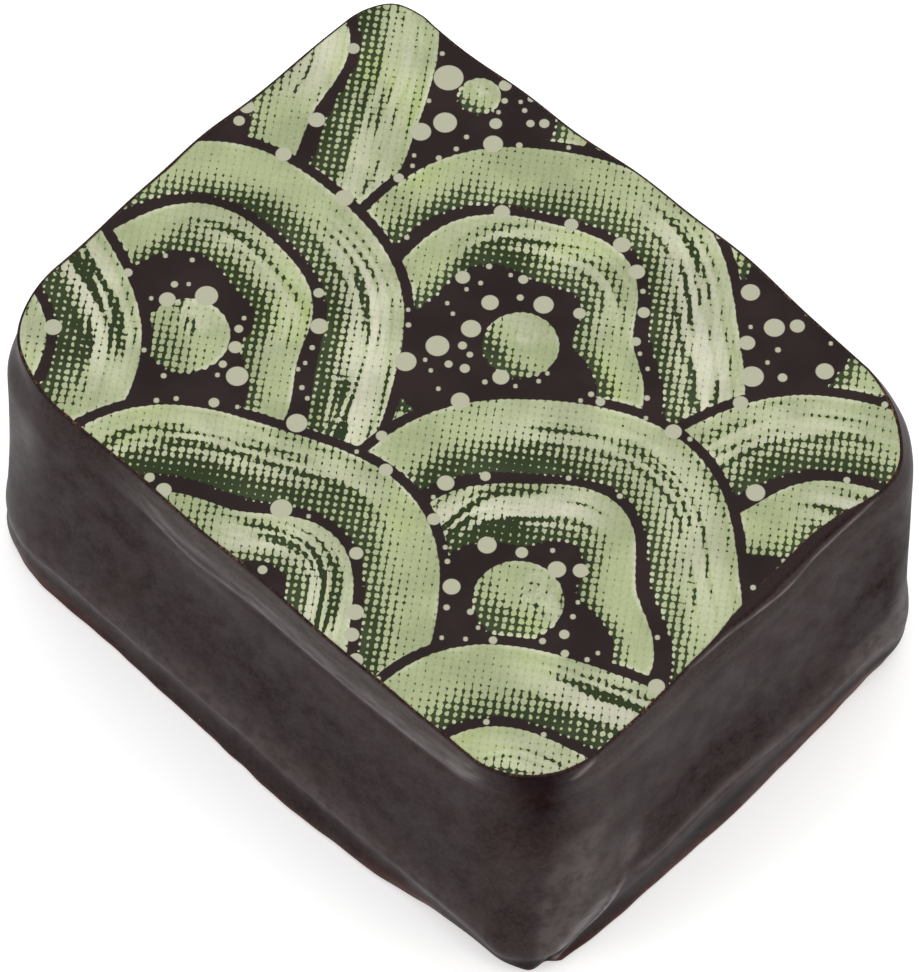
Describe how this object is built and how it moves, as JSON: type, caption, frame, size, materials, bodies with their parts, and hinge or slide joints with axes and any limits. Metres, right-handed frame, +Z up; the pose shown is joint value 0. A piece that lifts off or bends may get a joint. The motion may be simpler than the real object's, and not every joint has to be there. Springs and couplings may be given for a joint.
{
  "type": "chocolate bonbon",
  "caption": "Rectangular dark chocolate bonbon with a flat printed top, rounded shoulders and a thin foot; rests on its flat underside.",
  "frame": {"origin": "centre of the piece's box in X and Y, at the flat underside", "axes": "+X along the long side, +Y along the short side, +Z up through the printed face"},
  "size_m": [0.0326, 0.0262, 0.0152],
  "materials": {
    "dark_chocolate": "satin, faintly mottled dark chocolate",
    "printed_face": "matte cocoa butter print in light green, dark green and cream on dark chocolate"
  },
  "bodies": {
    "root": {"bonbon": "dark_chocolate"}
  },
  "joints": []
}
